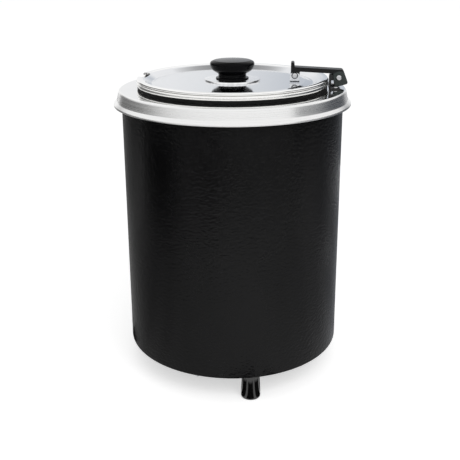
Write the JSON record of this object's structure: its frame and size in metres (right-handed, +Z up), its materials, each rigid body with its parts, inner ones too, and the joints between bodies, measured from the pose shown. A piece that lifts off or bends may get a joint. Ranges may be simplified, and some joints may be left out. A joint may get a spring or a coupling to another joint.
{
  "type": "soup kettle",
  "caption": "Upright round soup kettle: black heated casing on short feet, steel collar that lifts out with its pot, and a hinged steel lid with a black knob and a ladle notch.",
  "frame": {"origin": "on the surface the kettle stands on, under the axis of its casing", "axes": "+Z up along the casing's axis, +X towards the lid's hinge, -Y towards the side that faces the guest"},
  "size_m": [0.2592, 0.2592, 0.3516],
  "materials": {
    "casing_paint": "black gloss enamel with a fine pebbled texture",
    "base_paint": "satin black",
    "foot_plastic": "glossy black moulded",
    "zinc_screw": "bright zinc plate",
    "well_steel": "satin stainless",
    "heater_aluminium": "rolled",
    "element_steel": "oxidised stainless",
    "control_body": "moulded phenolic",
    "phial_copper": "drawn copper",
    "cutout_plastic": "moulded phenolic",
    "terminal_plastic": "cream ceramic-filled plastic",
    "gland_plastic": "black nylon",
    "lead_silicone": "red-brown silicone",
    "spindle_steel": "turned",
    "control_plastic": "black moulded",
    "collar_steel": "stainless, brushed round the wall and bright on top",
    "seal_rubber": "black",
    "pot_steel": "polished stainless",
    "bracket_paint": "dark grey-green",
    "rivet_steel": "bright",
    "lid_steel": "polished stainless",
    "washer_chrome": "mirror bright",
    "knob_plastic": "glossy black phenolic",
    "arm_paint": "semi-gloss black",
    "lug_steel": "bright"
  },
  "bodies": {
    "base": {"casing": "casing_paint", "base_plate": "base_paint", "foot_1": "foot_plastic", "foot_2": "foot_plastic", "foot_3": "foot_plastic", "foot_screws": "zinc_screw", "base_screws": "zinc_screw", "water_well": "well_steel", "heater_plate": "heater_aluminium", "heater_element": "element_steel", "heater_clamp": "element_steel", "clamp_stud": "zinc_screw", "clamp_nut": "zinc_screw", "thermostat": "control_body", "thermostat_screws": "zinc_screw", "sensor_phial": "phial_copper", "thermal_cutout": "cutout_plastic", "cutout_screws": "zinc_screw", "terminal_block": "terminal_plastic", "terminal_screws": "zinc_screw", "cable_gland": "gland_plastic", "gland_nut": "gland_plastic", "internal_leads": "lead_silicone"},
    "control": {"control_spindle": "spindle_steel", "control_knob": "control_plastic"},
    "insert": {"collar": "collar_steel", "rim_seal": "seal_rubber", "soup_pot": "pot_steel", "hinge_bracket": "bracket_paint", "bracket_rivets": "rivet_steel", "hinge_pin": "rivet_steel"},
    "lid": {"lid": "lid_steel", "knob_washer": "washer_chrome", "lid_knob": "knob_plastic", "knob_screw": "zinc_screw", "hinge_arm": "arm_paint", "lid_lug": "lug_steel", "lug_foot_rivets": "rivet_steel", "lug_rivet": "rivet_steel"}
  },
  "joints": [
    {"name": "insert_lift", "type": "slide", "parent": "base", "child": "insert", "axis": [0, 0, 1], "range_m": [0, 0.2]},
    {"name": "lid_hinge", "type": "hinge", "parent": "insert", "child": "lid", "pos_m": [0.1154, 0, 0.33313], "axis": [0, 1, 0], "range_deg": [0, 100]},
    {"name": "control_turn", "type": "hinge", "parent": "base", "child": "control", "pos_m": [0, -0.064, 0.018], "axis": [0, 0, 1], "range_deg": [0, 270]}
  ]
}
